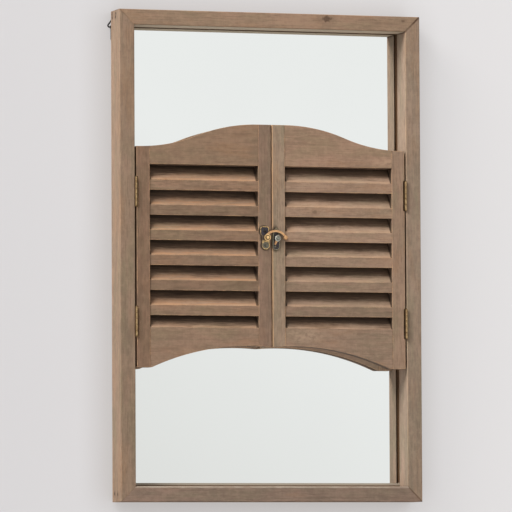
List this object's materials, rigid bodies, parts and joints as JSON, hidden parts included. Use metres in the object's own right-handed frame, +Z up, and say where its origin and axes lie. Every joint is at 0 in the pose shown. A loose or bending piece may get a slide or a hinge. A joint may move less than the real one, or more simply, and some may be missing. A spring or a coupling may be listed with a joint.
{
  "type": "wall mirror with shutter doors",
  "caption": "Upright rectangular wall mirror in a deep mitred box frame, behind two hinged louvred leaves with ogee tops, arched feet and a swinging hook latch.",
  "frame": {"origin": "middle of the top rail's back face, which lies against the wall", "axes": "+Z up the frame's height, +Y into the wall, so the leaves face -Y, +X to the right seen from the front"},
  "size_m": [0.5272, 0.0641, 0.8],
  "materials": {
    "weathered_wood": "weathered grey-brown stain, dry",
    "backing_board": "bare hardboard",
    "mirror": "silvered glass",
    "brass": "satin brass plate",
    "antique_brass": "antique brass, dark in its recesses",
    "black_steel": "black steel",
    "steel": "bright steel"
  },
  "bodies": {
    "frame": {"frame_stile_left": "weathered_wood", "frame_stile_right": "weathered_wood", "frame_rail_top": "weathered_wood", "frame_rail_bottom": "weathered_wood", "corner_nails": "black_steel", "mirror_glass": "mirror", "backing_board": "backing_board", "backing_tabs": "steel", "hanger_strap_left": "black_steel", "hanger_strap_right": "black_steel", "hanger_screws": "black_steel", "frame_flap_screws": "brass", "left_upper_frame_flap": "brass", "left_upper_hinge_pin": "brass", "left_lower_frame_flap": "brass", "left_lower_hinge_pin": "brass", "right_upper_frame_flap": "brass", "right_upper_hinge_pin": "brass", "right_lower_frame_flap": "brass", "right_lower_hinge_pin": "brass"},
    "left_leaf": {"left_hinge_stile": "weathered_wood", "left_meeting_stile": "weathered_wood", "left_top_rail": "weathered_wood", "left_bottom_rail": "weathered_wood", "left_flap_screws": "brass", "left_slat_1": "weathered_wood", "left_slat_2": "weathered_wood", "left_slat_3": "weathered_wood", "left_slat_4": "weathered_wood", "left_slat_5": "weathered_wood", "left_slat_6": "weathered_wood", "left_upper_leaf_flap": "brass", "left_lower_leaf_flap": "brass", "latch_plate": "antique_brass", "latch_plate_screws": "antique_brass", "pivot_rivet": "brass"},
    "right_leaf": {"right_hinge_stile": "weathered_wood", "right_meeting_stile": "weathered_wood", "right_top_rail": "weathered_wood", "right_bottom_rail": "weathered_wood", "right_flap_screws": "brass", "right_slat_1": "weathered_wood", "right_slat_2": "weathered_wood", "right_slat_3": "weathered_wood", "right_slat_4": "weathered_wood", "right_slat_5": "weathered_wood", "right_slat_6": "weathered_wood", "right_upper_leaf_flap": "brass", "right_lower_leaf_flap": "brass", "keeper_plate": "antique_brass", "keeper_tongue": "brass", "keeper_stud": "steel", "keeper_screw": "antique_brass"},
    "hook": {"latch_hook": "brass"},
    "ring_left": {"hanger_ring_left": "black_steel"},
    "ring_right": {"hanger_ring_right": "black_steel"}
  },
  "joints": [
    {"name": "left_leaf_hinge", "type": "hinge", "parent": "frame", "child": "left_leaf", "pos_m": [-0.2315, -0.0518, -0.39], "axis": [0, 0, -1], "range_deg": [0, 170]},
    {"name": "right_leaf_hinge", "type": "hinge", "parent": "frame", "child": "right_leaf", "pos_m": [0.2315, -0.0518, -0.39], "axis": [0, 0, 1], "range_deg": [0, 170]},
    {"name": "hook_swing", "type": "hinge", "parent": "left_leaf", "child": "hook", "pos_m": [-0.0093, -0.0553, -0.3565], "axis": [0, -1, 0], "range_deg": [0, 110]},
    {"name": "ring_left_swing", "type": "hinge", "parent": "frame", "child": "ring_left", "pos_m": [-0.2525, 0.00245, -0.0125], "axis": [-1, 0, 0], "range_deg": [0, 165]},
    {"name": "ring_right_swing", "type": "hinge", "parent": "frame", "child": "ring_right", "pos_m": [0.2525, 0.00245, -0.0125], "axis": [-1, 0, 0], "range_deg": [0, 165]}
  ]
}
